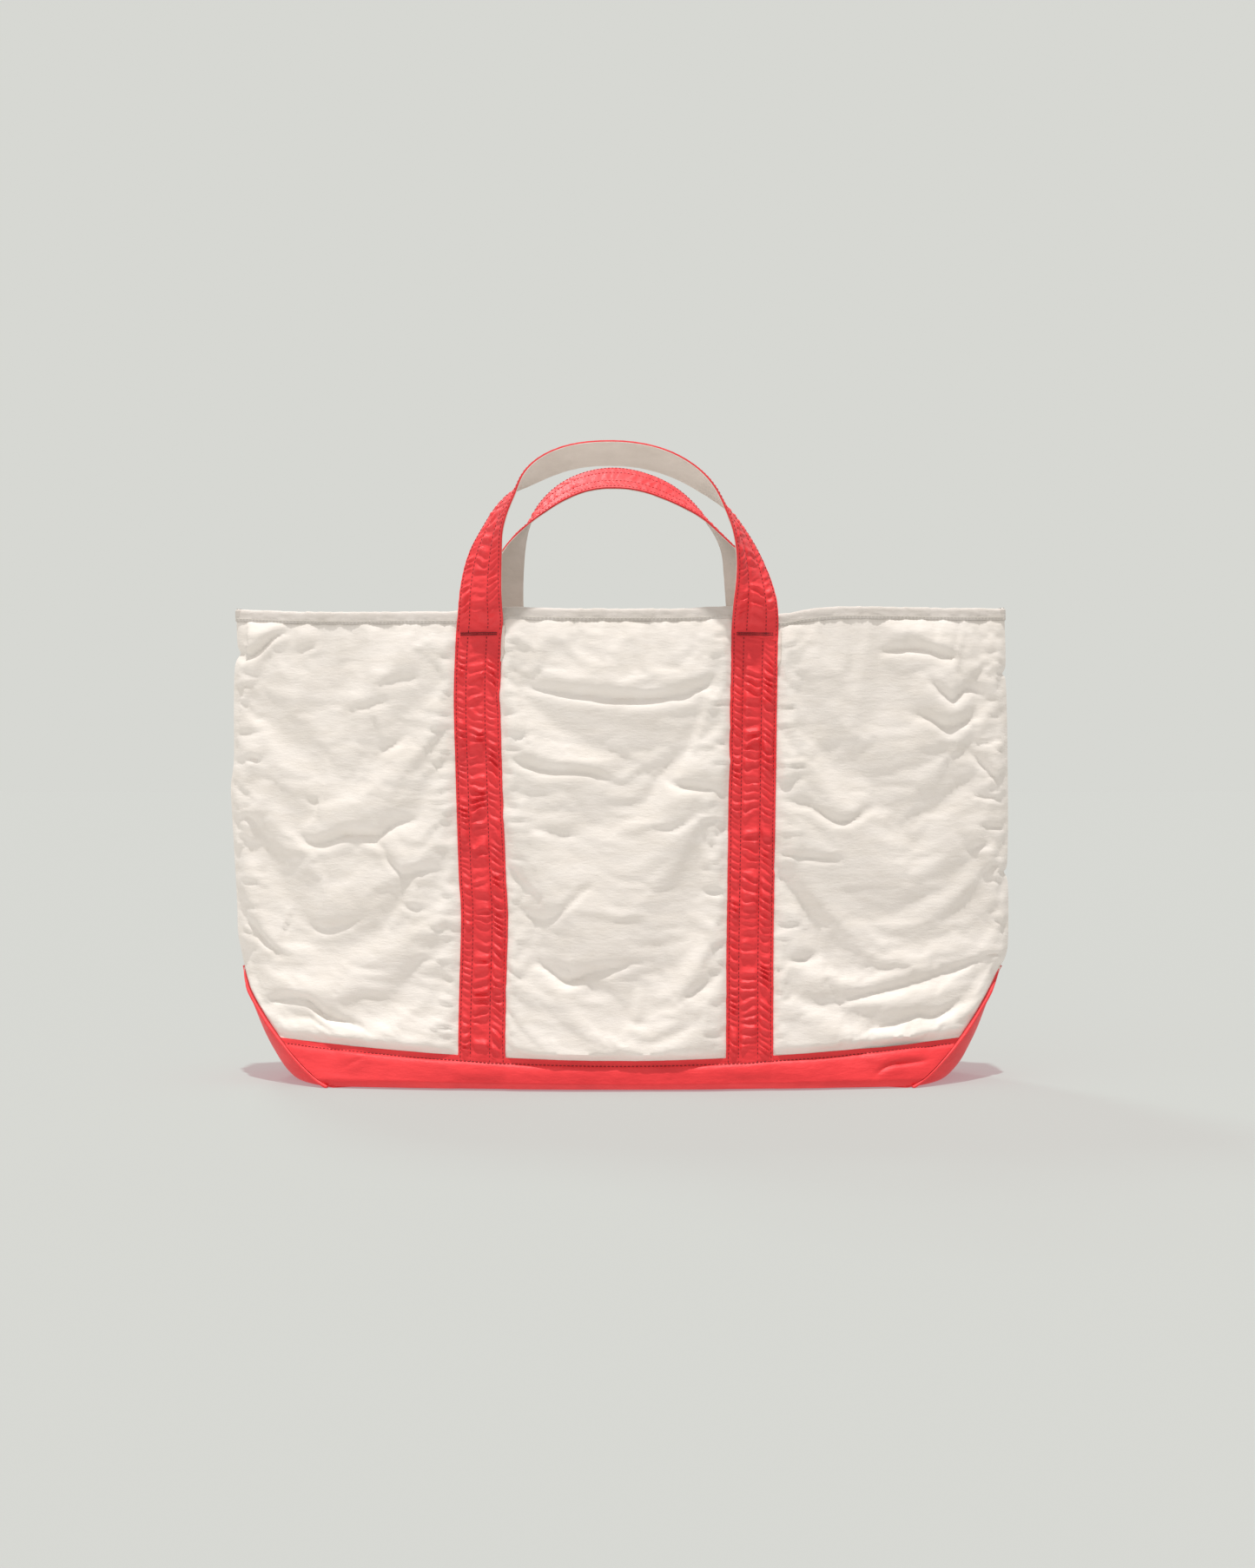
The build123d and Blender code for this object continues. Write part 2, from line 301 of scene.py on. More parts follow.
# Folds of the front wall, in millimetres: (height of the roll, its width, points along the crease).
# The roll hangs over its crease; the cloth below comes out again sharply.
FRONT_FOLDS = (
    (5.5, 9, ((-317, 352), (-312, 346), (-299, 353), (-284, 366), (-270, 371))),
    (2.2, 8, ((-268, 355), (-256, 357), (-244, 361))),
    (2.5, 14, ((-205, 322), (-180, 330), (-154, 334))),
    (2.6, 13, ((-228, 303), (-203, 309), (-180, 316))),
    (2.0, 6, ((-157, 289), (-147, 287), (-137, 288))),
    (2.2, 8, ((-157, 264), (-146, 258), (-136, 257))),
    (2.8, 14, ((-200, 272), (-186, 275), (-170, 286))),
    (2.4, 7, ((-310, 268), (-300, 265), (-291, 262))),
    (5.2, 15, ((-268, 208), (-256, 199), (-240, 197), (-222, 203), (-206, 203), (-192, 204),
     (-184, 211), (-172, 214), (-158, 213))),
    (3.2, 10, ((-312, 221), (-302, 215), (-291, 209))),
    (1.8, 9, ((-257, 232), (-246, 230), (-235, 229))),
    (3.2, 10, ((-206, 200), (-192, 195), (-186, 184), (-176, 173), (-167, 172), (-152, 175),
     (-138, 174))),
    (3.4, 14, ((-258, 131), (-240, 127), (-222, 130), (-207, 135))),
    (3.6, 10, ((-314, 130), (-302, 126), (-294, 118), (-281, 108), (-270, 106))),
    (2.2, 9, ((-178, 150), (-163, 143), (-152, 145))),
    (5.2, 11, ((-292, 62), (-278, 67), (-256, 68), (-247, 63), (-238, 56), (-221, 52), (-210, 49),
     (-200, 43))),
    (1.8, 6, ((-156, 131), (-146, 126), (-137, 125))),
    (6.0, 17, ((-84, 325), (-72, 322), (-48, 319), (-18, 316), (10, 314), (38, 315), (56, 318),
     (72, 325), (83, 329))),
    (3.6, 12, ((-90, 263), (-72, 258), (-62, 255), (-44, 254), (-30, 254), (-16, 251), (-2, 245))),
    (4.2, 14, ((32, 251), (46, 243), (66, 240), (76, 238), (86, 231))),
    (2.2, 10, ((-90, 275), (-80, 280), (-66, 285))),
    (2.4, 12, ((-76, 205), (-62, 207), (-44, 203), (-26, 204))),
    (2.4, 14, ((20, 211), (38, 208), (52, 213), (66, 223))),
    (3.4, 12, ((-84, 142), (-72, 138), (-58, 136), (-46, 143), (-30, 158), (-18, 168))),
    (4.6, 14, ((-76, 103), (-58, 98), (-44, 88), (-34, 89), (-22, 95), (-8, 98), (14, 103))),
    (2.4, 7, ((-92, 97), (-82, 91), (-74, 87))),
    (4.4, 17, ((46, 70), (60, 79), (72, 88), (84, 97))),
    (2.4, 8, ((62, 160), (74, 157), (85, 156))),
    (1.8, 10, ((4, 58), (14, 55), (24, 56))),
    (5.0, 13, ((208, 351), (224, 352), (240, 353), (254, 351), (266, 347), (282, 344))),
    (4.6, 14, ((246, 335), (254, 326), (263, 317), (272, 312), (282, 320), (294, 319), (306, 311))),
    (4.6, 14, ((232, 302), (248, 299), (260, 293), (268, 291), (281, 294), (293, 299), (302, 305))),
    (3.8, 13, ((130, 232), (142, 228), (154, 225), (166, 217), (178, 214), (189, 217), (199, 223),
     (212, 228))),
    (2.4, 12, ((128, 238), (138, 244), (150, 250))),
    (3.2, 10, ((284, 276), (294, 262), (305, 250), (312, 243))),
    (2.8, 9, ((282, 188), (292, 192), (303, 196))),
    (3.0, 10, ((127, 189), (142, 186), (164, 184), (184, 184))),
    (3.2, 12, ((126, 103), (140, 102), (150, 104), (162, 110))),
    (5.8, 19, ((136, 73), (148, 69), (160, 67), (178, 69), (196, 74), (216, 78), (244, 84),
     (272, 92), (296, 99))),
    (5.2, 17, ((188, 40), (200, 46), (218, 50), (236, 56), (254, 56), (268, 60), (284, 66))),
    (3.0, 8, ((296, 172), (304, 175), (312, 176))),
    (1.8, 6, ((126, 130), (136, 131), (146, 130))),
)

# Folds of the front band.
BAND_FOLDS = (
    (2.6, 7, ((203, 9), (212, 15), (222, 17.5), (238, 18.5), (250, 19.5))),
    (0.8, 6, ((-222, 14), (-212, 20), (-203, 23))),
)

# The back wall's folds: the front's, turned about.
BACK_FOLDS = tuple(
    (roll * 0.95, width, tuple((-x * 0.97, z) for x, z in points))
    for roll, width, points in FRONT_FOLDS
)


def pinch_folds(side, seed):
    """Short pinches that run out from the straps, the side seams and the band."""
    rng = np.random.default_rng(seed)
    folds = []

    def pinch(x, z, along, middle, up, rolls, widths):
        line = ((x, z), (x + along / 2, z + middle), (x + along, z + up))
        folds.append((rng.uniform(*rolls), rng.uniform(*widths), line))

    for hand in (-1, 1):
        for out in (-1, 1):
            z = 42.0
            while z < 372:
                x0 = strap_x(side, hand, z * MM) / MM + out * rng.uniform(18.0, 19.5)
                length = out * rng.uniform(8, 26)
                rise = rng.uniform(-4, 4)
                pinch(x0, z, length, rise * 0.4, rise, (0.5, 1.7), (2.6, 5.5))
                z += rng.uniform(7, 19)
        z = 104.0
        while z < 366:
            x0 = hand * (HALF_LENGTH / MM - rng.uniform(3, 6))
            length = -hand * rng.uniform(10, 30)
            rise = rng.uniform(-7, 7)
            pinch(x0, z, length, rise * 0.5, rise, (0.8, 2.4), (3.5, 7))
            z += rng.uniform(9, 26)
    x = -285.0
    while x < 290:
        tall = rng.uniform(6, 20)
        lean = rng.uniform(-6, 6)
        foot = band_top(x * MM) / MM + 1
        pinch(x, foot, lean, tall / 2 - 1, tall - 1, (0.3, 1.0), (3, 7))
        x += rng.uniform(14, 38)
    return folds


def add_fold(height, x, z, fold):
    """Add one fold to a height map, in metres; x and z are the map's own places."""
    roll, width, points = fold
    roll, width = roll * MM, width * MM
    line = spline(np.array(points) * MM, 4 * len(points))
    reach = 4 * width
    near = (
        (x > line[:, 0].min() - reach) & (x < line[:, 0].max() + reach)
        & (z > line[:, 1].min() - reach) & (z < line[:, 1].max() + reach)
    )
    if not near.any():
        return
    px, pz = x[near], z[near]
    best = np.full(px.shape, 1e9)
    signed, along = np.zeros(px.shape), np.zeros(px.shape)
    steps = np.linalg.norm(np.diff(line, axis=0), axis=1)
    start = run_along(line)
    for k, (a, b) in enumerate(zip(line, line[1:])):
        dx, dz = (b - a) / steps[k]
        t = np.clip((px - a[0]) * dx + (pz - a[1]) * dz, 0, steps[k])
        ex, ez = px - a[0] - t * dx, pz - a[1] - t * dz
        distance = np.hypot(ex, ez)
        closer = distance < best
        best = np.where(closer, distance, best)
        above = np.sign(ez * dx - ex * dz) * (1 if dx >= 0 else -1)
        signed = np.where(closer, above * distance, signed)
        along = np.where(closer, (start[k] + t) / start[-1], along)
    taper = np.sin(np.pi * np.clip(along, 0.02, 0.98)) ** 0.6
    beyond = np.minimum(start[-1] * np.minimum(along, 1 - along) + 1e-9, width)
    taper = taper * np.where(best > np.abs(signed) * 0.999, 1, 0) * (0.35 + 0.65 * beyond / width)
    shape = hump(signed / width) + 0.5 * hump(-signed / (0.5 * width))
    shape = shape - 0.35 * np.exp(-((best / (0.35 * width)) ** 2))
    height[near] += roll * taper * shape


# ---- walls


class Wall:
    """One wall's outer surface as a grid, with sampling by place."""

    columns, rows = 281, 169

    def __init__(self, side, folds, seed):
        self.side = side
        share = np.linspace(-1, 1, self.columns)
        z = np.linspace(WALL_FOOT_Z, RIM_Z, self.rows)
        self.z = np.repeat(z[:, None], self.columns, 1)
        self.x = share[None, :] * seam_x(self.z)
        self.smooth = form_point(side, self.x, self.z)
        self.out = form_normal(side, self.x, self.z)
        height = self.relief(folds, seed)
        self.points = self.smooth + self.out * height[..., None]
        self.points = relax_cloth(self)
        settle(side, self.points, self.x, self.z)
        self.normals = grid_normals(self.points, self.out)

    def loose(self):
        """From 0 where the wall is sewn down to 1 well away from every seam."""
        def free(distance, reach):
            return 1 - np.exp(-np.maximum(distance, 0) / reach)

        x, z = self.x, self.z
        loose = free(seam_x(z) - np.abs(x), 9 * MM) * free(RIM_Z - 7 * MM - z, 10 * MM)
        above = z - band_top(x)
        loose *= np.where(above > 0, free(above, 2.2 * MM), free(-above - 4 * MM, 4 * MM))
        for hand in (-1, 1):
            loose *= free(np.abs(x - strap_x(self.side, hand, z)) - STRAP_EDGE, 7 * MM)
        return loose

    def relief(self, folds, seed):
        """The wall's height over the smooth form before it is simulated."""
        x, z, loose = self.x, self.z, self.loose()
        above_band = smooth_step((z - band_top(x)) / (6 * MM))
        height = 4.5 * MM * loose * (0.4 + 0.6 * above_band)
        bent_x = x + 9 * MM * lattice_noise(x, z, 40, 30, seed + 8)
        bent_z = z + 7 * MM * lattice_noise(x, z, 55, 35, seed + 9) - 0.12 * np.abs(x)
        swell = lattice_noise(bent_x, bent_z, 85, 34, seed)
        crumple = lattice_noise(bent_x, bent_z, 34, 11, seed + 1)
        crease = 1 - 2 * np.abs(lattice_noise(bent_x, bent_z, 30, 12, seed + 3)) ** 0.7
        small = 1 - 2 * np.abs(lattice_noise(bent_x, bent_z, 15, 5.5, seed + 4)) ** 0.8
        noise = 1.15 * swell + 0.45 * crumple - 0.36 * crease - 0.15 * small
        height += loose * noise * MM * (0.25 + 0.75 * above_band)
        folded = np.zeros_like(height)
        for fold in folds:
            add_fold(folded, x, z, fold)
        height += 0.82 * folded * np.clip(loose * 1.6, 0, 1) * (0.1 + 0.9 * above_band)
        return np.maximum(height, -1.2 * MM)

    def sewn(self):
        """Which grid points are held by a seam."""
        return self.loose() < 0.12

    def sample(self, x, z):
        """The surface's point and normal at a place on the wall."""
        x, z = np.broadcast_arrays(np.asarray(x, float), np.asarray(z, float))
        u = (np.clip(x / seam_x(z), -1, 1) + 1) / 2 * (self.columns - 1)
        v = np.clip((z - WALL_FOOT_Z) / (RIM_Z - WALL_FOOT_Z), 0, 1) * (self.rows - 1)
        i = np.clip(u.astype(int), 0, self.columns - 2)
        j = np.clip(v.astype(int), 0, self.rows - 2)
        a, b = (u - i)[..., None], (v - j)[..., None]
        blended = []
        for grid in (self.points, self.normals):
            low = grid[j, i] * (1 - a) + grid[j, i + 1] * a
            high = grid[j + 1, i] * (1 - a) + grid[j + 1, i + 1] * a
            blended.append(low * (1 - b) + high * b)
        point, normal = blended
        return point, normal / np.linalg.norm(normal, axis=-1, keepdims=True)


def grid_normals(points, guide):
    """Unit normals of a grid, turned the way of the guide vectors."""
    normals = np.cross(np.gradient(points, axis=1), np.gradient(points, axis=0))
    normals /= np.maximum(np.linalg.norm(normals, axis=-1, keepdims=True), 1e-12)
    return normals * np.where((normals * guide).sum(-1, keepdims=True) < 0, -1, 1)


def grid_faces(rows, columns, offset=0, flip=False):
    """Quads of a grid of points stored row by row."""
    index = np.arange(rows * columns).reshape(rows, columns) + offset
    corners = (index[:-1, :-1], index[:-1, 1:], index[1:, 1:], index[1:, :-1])
    quads = np.stack(corners, -1).reshape(-1, 4)
    return quads[:, ::-1] if flip else quads


def tube_faces(rings, sides, offset):
    """Faces of a tube stored ring by ring, closed at both ends."""
    index = np.arange(rings * sides).reshape(rings, sides) + offset
    beside = np.roll(index, -1, 1)
    quads = np.stack([index[:-1], beside[:-1], beside[1:], index[1:]], -1).reshape(-1, 4)
    return quads.tolist() + [index[0, ::-1].tolist(), index[-1].tolist()]


def relax_cloth(wall):
    """Let the wall wrinkle as cloth that is a little too large for its seams."""
    step = 2
    rows, columns = wall.points[::step, ::step].shape[:2]
    before = wall.points[::step, ::step].reshape(-1, 3)
    mesh = bpy.data.meshes.new("cloth")
    mesh.from_pydata(before.tolist(), [], grid_faces(rows, columns).tolist())
    piece = bpy.data.objects.new("cloth", mesh)
    bpy.context.scene.collection.objects.link(piece)
    sewn = wall.sewn()[::step, ::step].reshape(-1)
    pins = piece.vertex_groups.new(name="sewn")
    pins.add(np.flatnonzero(sewn).tolist(), 1.0, "REPLACE")
    cloth = piece.modifiers.new("Cloth", "CLOTH")
    settings = cloth.settings
    settings.quality = 6
    settings.mass = 0.12
    settings.air_damping = 4
    settings.tension_stiffness = settings.compression_stiffness = 18
    settings.shear_stiffness = 6
    settings.bending_stiffness = 0.35
    settings.vertex_group_mass = "sewn"
    settings.pin_stiffness = 1
    settings.shrink_min = -0.014
    settings.effector_weights.gravity = 0.15
    cloth.collision_settings.use_collision = False
    frames = 16
    scene = bpy.context.scene
    for number in range(1, frames + 1):
        scene.frame_set(number)
    shaped = piece.evaluated_get(bpy.context.evaluated_depsgraph_get()).to_mesh()
    after = np.empty(len(shaped.vertices) * 3)
    shaped.vertices.foreach_get("co", after)
    moved = (after.reshape(-1, 3) - before).reshape(rows, columns, 3)
    bpy.data.objects.remove(piece)
    scene.frame_set(1)
    most = 5 * MM  # no point moves further than this
    length = np.linalg.norm(moved, axis=-1, keepdims=True)
    calm = smooth_step((wall.z - band_top(wall.x)) / (6 * MM))[::step, ::step, None]
    moved = moved * np.minimum(0.75, most / np.maximum(length, 1e-9)) * (0.15 + 0.85 * calm)
    fine = np.empty_like(wall.points)
    fine[::step, ::step] = moved
    fine[1::step, ::step] = (moved[:-1] + moved[1:]) / 2
    fine[:, 1::step] = (fine[:, :-1:step] + fine[:, step::step]) / 2
    return wall.points + fine


# ---- meshes


def new_piece(name, points, faces, material):
    """A smooth-shaded mesh object."""
    mesh = bpy.data.meshes.new(name)
    mesh.from_pydata(np.concatenate(points).tolist(), [], faces)
    mesh.polygons.foreach_set("use_smooth", np.ones(len(mesh.polygons), bool))
    mesh.materials.append(material)
    piece = bpy.data.objects.new(name, mesh)
    bpy.context.scene.collection.objects.link(piece)
    return piece


def slab_geometry(outer, inner, offset=0):
    """Points and faces of the closed solid between two grids of the same size."""
    rows, columns = outer.shape[:2]
    count = rows * columns
    index = np.arange(count).reshape(rows, columns)
    edge = np.concatenate([index[0], index[1:, -1], index[-1, -2::-1], index[-2:0:-1, 0]])
    following = np.roll(edge, -1)
    rim = np.stack([edge, edge + count, following + count, following], -1)
    faces = np.concatenate([
        grid_faces(rows, columns, 0, True), grid_faces(rows, columns, count), rim,
    ])
    return np.concatenate([outer.reshape(-1, 3), inner.reshape(-1, 3)]), faces + offset


def slabs(name, pairs, material):
    """A piece of one or more closed solids, each between an outer and an inner grid."""
    points, faces, count = [], [], 0
    for outer, inner in pairs:
        new_points, new_faces = slab_geometry(outer, inner, count)
        points.append(new_points)
        faces += new_faces.tolist()
        count += len(new_points)
    piece = new_piece(name, points, faces, material)
    work = bmesh.new()
    work.from_mesh(piece.data)
    bmesh.ops.recalc_face_normals(work, faces=work.faces)
    work.to_mesh(piece.data)
    work.free()
    piece.data.set_sharp_from_angle(angle=math.radians(55))
    return piece


def slab(name, outer, inner, material):
    """A piece of one closed solid."""
    return slabs(name, [(outer, inner)], material)


def stitches(name, lines, material, pitch=3.2 * MM, length=2.2 * MM, radius=0.34 * MM):
    """Rows of thread stitches; each line is (points, normals) along one row."""
    ring, sides = (-0.5, -0.32, 0.0, 0.32, 0.5), 6  # places along one stitch
    swell, lift = (0.35, 0.9, 1.0, 0.9, 0.35), (-0.7, 0.25, 0.45, 0.25, -0.7)
    turn = np.arange(sides) * 2 * math.pi / sides
    points, faces, count = [], [], 0
    for path, normals in lines:
        run = run_along(path)
        for middle in np.arange(pitch / 2, run[-1] - pitch / 2, pitch):
            ahead, behind = (read_line(run, path, middle + k * length / 2) for k in (1, -1))
            along = (ahead - behind) / np.linalg.norm(ahead - behind)
            up = read_line(run, normals, middle)
            up -= along * (up @ along)
            up /= np.linalg.norm(up)
            across = np.cross(along, up)
            place = read_line(run, path, middle)
            circle = np.cos(turn)[:, None] * across + np.sin(turn)[:, None] * up
            for at, size, high in zip(ring, swell, lift):
                centre = place + along * at * length + up * high * radius
                points.append(centre + radius * size * circle)
            faces += tube_faces(len(ring), sides, count)
            count += len(ring) * sides
    return new_piece(name, points, faces, material)


# ---- materials


def start_material(name, roughness):
    """A new material: itself, its nodes, its links and its shader."""
    material = bpy.data.materials.new(name)
    material.use_nodes = True
    nodes, links = material.node_tree.nodes, material.node_tree.links
    shader = nodes["Principled BSDF"]
    shader.inputs["Roughness"].default_value = roughness
    return material, nodes, links, shader


def add_ramp(nodes, links, height, shader, colours, places=(0, 1)):
    """Run the shader's colour between two colours as a height goes between two places."""
    ramp = nodes.new("ShaderNodeValToRGB")
    for k in (0, 1):
        ramp.color_ramp.elements[k].position = places[k]
        ramp.color_ramp.elements[k].color = (*colours[k], 1)
    links.new(height, ramp.inputs["Fac"])
    links.new(ramp.outputs["Color"], shader.inputs["Base Color"])


def add_bump(nodes, links, height, strength, distance, under=None):
    """A bump from a height, over another bump if one is given."""
    bump = nodes.new("ShaderNodeBump")
    bump.inputs["Strength"].default_value = strength
    bump.inputs["Distance"].default_value = distance
    links.new(height, bump.inputs["Height"])
    if under:
        links.new(under, bump.inputs["Normal"])
    return bump.outputs["Normal"]


def cloth_material(name, colour, shade, roughness, crinkle, gloss=0.5):
    """Washed cloth: mottled colour, and crinkles drawn out sideways over a fine grain."""
    material, nodes, links, shader = start_material(name, roughness)
    shader.inputs["Sheen Weight"].default_value = 0.08
    shader.inputs["Specular IOR Level"].default_value = gloss
    place = nodes.new("ShaderNodeTexCoord")
    mapping = nodes.new("ShaderNodeMapping")
    mapping.inputs["Scale"].default_value = (1, 1, 3)
    links.new(place.outputs["Object"], mapping.inputs["Vector"])

    def noise(scale, detail, rough):
        node = nodes.new("ShaderNodeTexNoise")
        node.inputs["Scale"].default_value = scale
        node.inputs["Detail"].default_value = detail
        node.inputs["Roughness"].default_value = rough
        links.new(mapping.outputs["Vector"], node.inputs["Vector"])
        return node.outputs["Fac"]

    add_ramp(nodes, links, noise(26, 7, 0.62), shader, (shade, colour), (0.34, 0.60))
    wide = add_bump(nodes, links, noise(46, 4, 0.6), crinkle, 1.5 * MM)
    fine = add_bump(nodes, links, noise(190, 6, 0.65), 1.7 * crinkle, 0.55 * MM, wide)
    links.new(fine, shader.inputs["Normal"])
    return material


def thread_material(name, colour):
    """Twisted thread: fine slanting bands along each stitch, with painted shade in the grooves
    between them.
    """
    material, nodes, links, shader = start_material(name, 0.6)
    place = nodes.new("ShaderNodeTexCoord")
    twist = nodes.new("ShaderNodeTexWave")
    twist.inputs["Scale"].default_value = 900
    twist.bands_direction = "DIAGONAL"
    links.new(place.outputs["Object"], twist.inputs["Vector"])
    # The grooves of the twist are painted darker than the thread: painted shade.
    groove_shade = [0.7 * channel for channel in colour]
    add_ramp(nodes, links, twist.outputs["Fac"], shader, (groove_shade, colour))
    bump = add_bump(nodes, links, twist.outputs["Fac"], 0.4, 0.1 * MM)
    links.new(bump, shader.inputs["Normal"])
    return material


CREAM = cloth_material(
    "cream_nylon", (0.80, 0.742, 0.690), (0.75, 0.690, 0.630), 0.62, 0.30, 0.35
)
RED = cloth_material(
    "red_nylon", (0.80, 0.034, 0.040), (0.68, 0.024, 0.030), 0.52, 0.34, 0.40
)
BACKING = cloth_material(
    "cream_backing", (0.72, 0.63, 0.57), (0.65, 0.565, 0.505), 0.7, 0.20, 0.3
)
TAPE = cloth_material(
    "rim_tape", (0.62, 0.57, 0.53), (0.52, 0.475, 0.43), 0.7, 0.30, 0.2
)
LINING = cloth_material("lining_nylon", (0.74, 0.69, 0.62), (0.66, 0.60, 0.53), 0.6, 0.25)
RED_THREAD = thread_material("red_thread", (0.26, 0.008, 0.012))
DARK_THREAD = thread_material("bartack_thread", (0.16, 0.006, 0.010))
CREAM_THREAD = thread_material("cream_thread", (0.72, 0.68, 0.60))


# ---- riding


def soft(piece, slot, *nodes):
    """A sewn piece parented to the root body, with its own mesh; the CAD nodes it stands for are
    hidden.
    """
    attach(piece, "root")
    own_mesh(piece)
    if nodes:
        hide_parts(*nodes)


# ---- walls, linings and trim


def make_wall(side, folds, seed):
    """The padded wall and its lining; returns the surface for the trim to lie on."""
    name = SIDE_NAMES[side]
    wall = Wall(side, folds, seed)
    inner = wall.smooth - wall.out * WALL_THICKNESS
    settle(side, inner, wall.x, wall.z)
    padded = slab(f"{name}_wall_padded", wall.points, inner, CREAM)
    soft(padded, "cream_nylon", f"{name}_panel", f"{name}_wadding")

    x, z, smooth, out, loose = (
        grid[::2, ::2] for grid in (wall.x, wall.z, wall.smooth, wall.out, wall.loose())
    )
    ripple = 0.8 * MM * lattice_noise(x, z, 50, 18, seed + 7) * np.clip(loose, 0, 1)
    skin = []
    for depth in (LINING_DEPTH, LINING_DEPTH + LINING_THICKNESS):
        sheet = smooth - out * (depth + ripple[..., None] + 0.8 * MM)
        sheet[..., 0] *= 0.985
        settle(side, sheet, x, z)
        sheet[..., 2] = np.maximum(sheet[..., 2], 0.6 * MM)
        skin.append(sheet)
    lining = slab(f"{name}_lining_cloth", skin[0], skin[1], LINING)
    soft(lining, "lining", f"{name}_lining")
    return wall


def strap_relief(across, along, seed):
    """Puckers between a strap's four rows of stitches: each channel has its own slant."""
    rows = np.array(STITCH_ROWS)
    from_row = np.abs(across[..., None] - rows).min(-1)
    channel = 1 - np.exp(-((from_row / (1.7 * MM)) ** 2))
    height = np.zeros(np.broadcast(across, along).shape)
    half = 19 * MM
    for n, (low, high, slant, period) in enumerate((
        (-half, rows[1], 0.40, 6.3 * MM),
        (rows[1], rows[2], -0.05, 8.6 * MM),
        (rows[2], half, 0.55, 6.8 * MM),
    )):
        inside = (across >= low) & (across < high)
        shifted = along + slant * across
        warp = 4.6 * lattice_noise(across, shifted, 30, 19, seed + 3 * n)
        bend = 2.3 * lattice_noise(across, shifted, 8, 9, seed + 3 * n + 1)
        wave = 0.5 + 0.5 * np.sin(2 * math.pi * shifted / period + warp + bend)
        power = 0.8 + 0.7 * lattice_noise(across, shifted, 14, 13, seed + 3 * n + 2)
        height = np.where(inside, np.maximum(0.2, power) * wave**1.2, height)
    slow = lattice_noise(across, along, 24, 24, seed + 11)
    fine = lattice_noise(across, along + 0.3 * across, 5, 1.9, seed + 12)
    edge = np.clip((np.abs(across) - 17.8 * MM) / MM, 0, 1)
    height = (0.15 + 2.5 * height + 1.3 * slow + 0.35 * fine) * MM * channel
    return height * (1 - 0.8 * edge) - 0.25 * MM * edge


def make_straps(wall):
    """The two straps sewn up one wall, with their stitch rows and bar tacks."""
    side, name = wall.side, SIDE_NAMES[wall.side]
    threads, tacks = [], []
    for hand, hand_name in HANDS:
        across = np.linspace(-STRAP_WIDTH / 2, STRAP_WIDTH / 2, 43)[None, :]
        low = band_top(strap_x(side, hand, 0.02)) - 7 * MM
        along = np.linspace(low, BARTACK_Z, 345)[:, None]
        across, along = np.broadcast_arrays(across, along)
        x = strap_x(side, hand, along) + across
        base, normal = wall.sample(x, along)
        relief = strap_relief(across, along, 40 + 3 * hand + side)
        relief *= 0.25 + 0.75 * smooth_step((BARTACK_Z - 12 * MM - along) / (22 * MM))
        relief *= 0.2 + 0.8 * smooth_step((along - low - 4 * MM) / (9 * MM))
        outer = base + normal * (1.25 * MM + relief[..., None])
        inner = base + normal * 0.15 * MM
        strap = slab(f"{name}_strap_{hand_name}_cloth", outer, inner, RED)
        soft(strap, "red_nylon", f"{name}_strap_{hand_name}")
        for row in STITCH_ROWS:
            column = nearest(across[0], row)
            threads.append((outer[2:, column], normal[2:, column]))
        for lift in (0.2 * MM, -1.3 * MM):
            line = np.linspace(-15 * MM, 15 * MM, 40)
            height = BARTACK_Z + lift
            middle = strap_x(side, hand, height)
            level = height + rim_rise(middle, height) - rim_rise(middle + line, height)
            place, upright = wall.sample(middle + line, level)
            tacks.append((place + upright * 2.15 * MM, upright))
    make_backing_tails(wall)
    rows = stitches(f"{name}_strap_stitches", threads, RED_THREAD)
    soft(rows, "red_thread")
    tack = stitches(
        f"{name}_bartack_stitches", tacks, DARK_THREAD,
        pitch=1.5 * MM, length=1.6 * MM, radius=0.42 * MM,
    )
    soft(tack, "red_thread", f"{name}_bartacks")


def make_backing_tails(wall):
    """The ends of a handle's cream backing, where they show beside the sewn straps."""
    tails = []
    for hand in (-1, 1):
        past_edge = np.linspace(STRAP_EDGE, 21.3 * MM, 9)[None, :] - STRAP_EDGE
        along = np.linspace(TAIL_FOOT_Z, BARTACK_Z + 4 * MM, 40)[:, None]
        past_edge, along = np.broadcast_arrays(past_edge, along)
        narrowing = smooth_step((along - TAIL_FOOT_Z) / (12 * MM))
        x = strap_x(wall.side, hand, along) + STRAP_EDGE + past_edge * narrowing
        base, normal = wall.sample(x, along)
        tails.append((base + normal * 1.1 * MM, base + normal * 0.1 * MM))
    tail = slabs(f"{SIDE_NAMES[wall.side]}_backing_tails", tails, BACKING)
    soft(tail, "cream_backing")


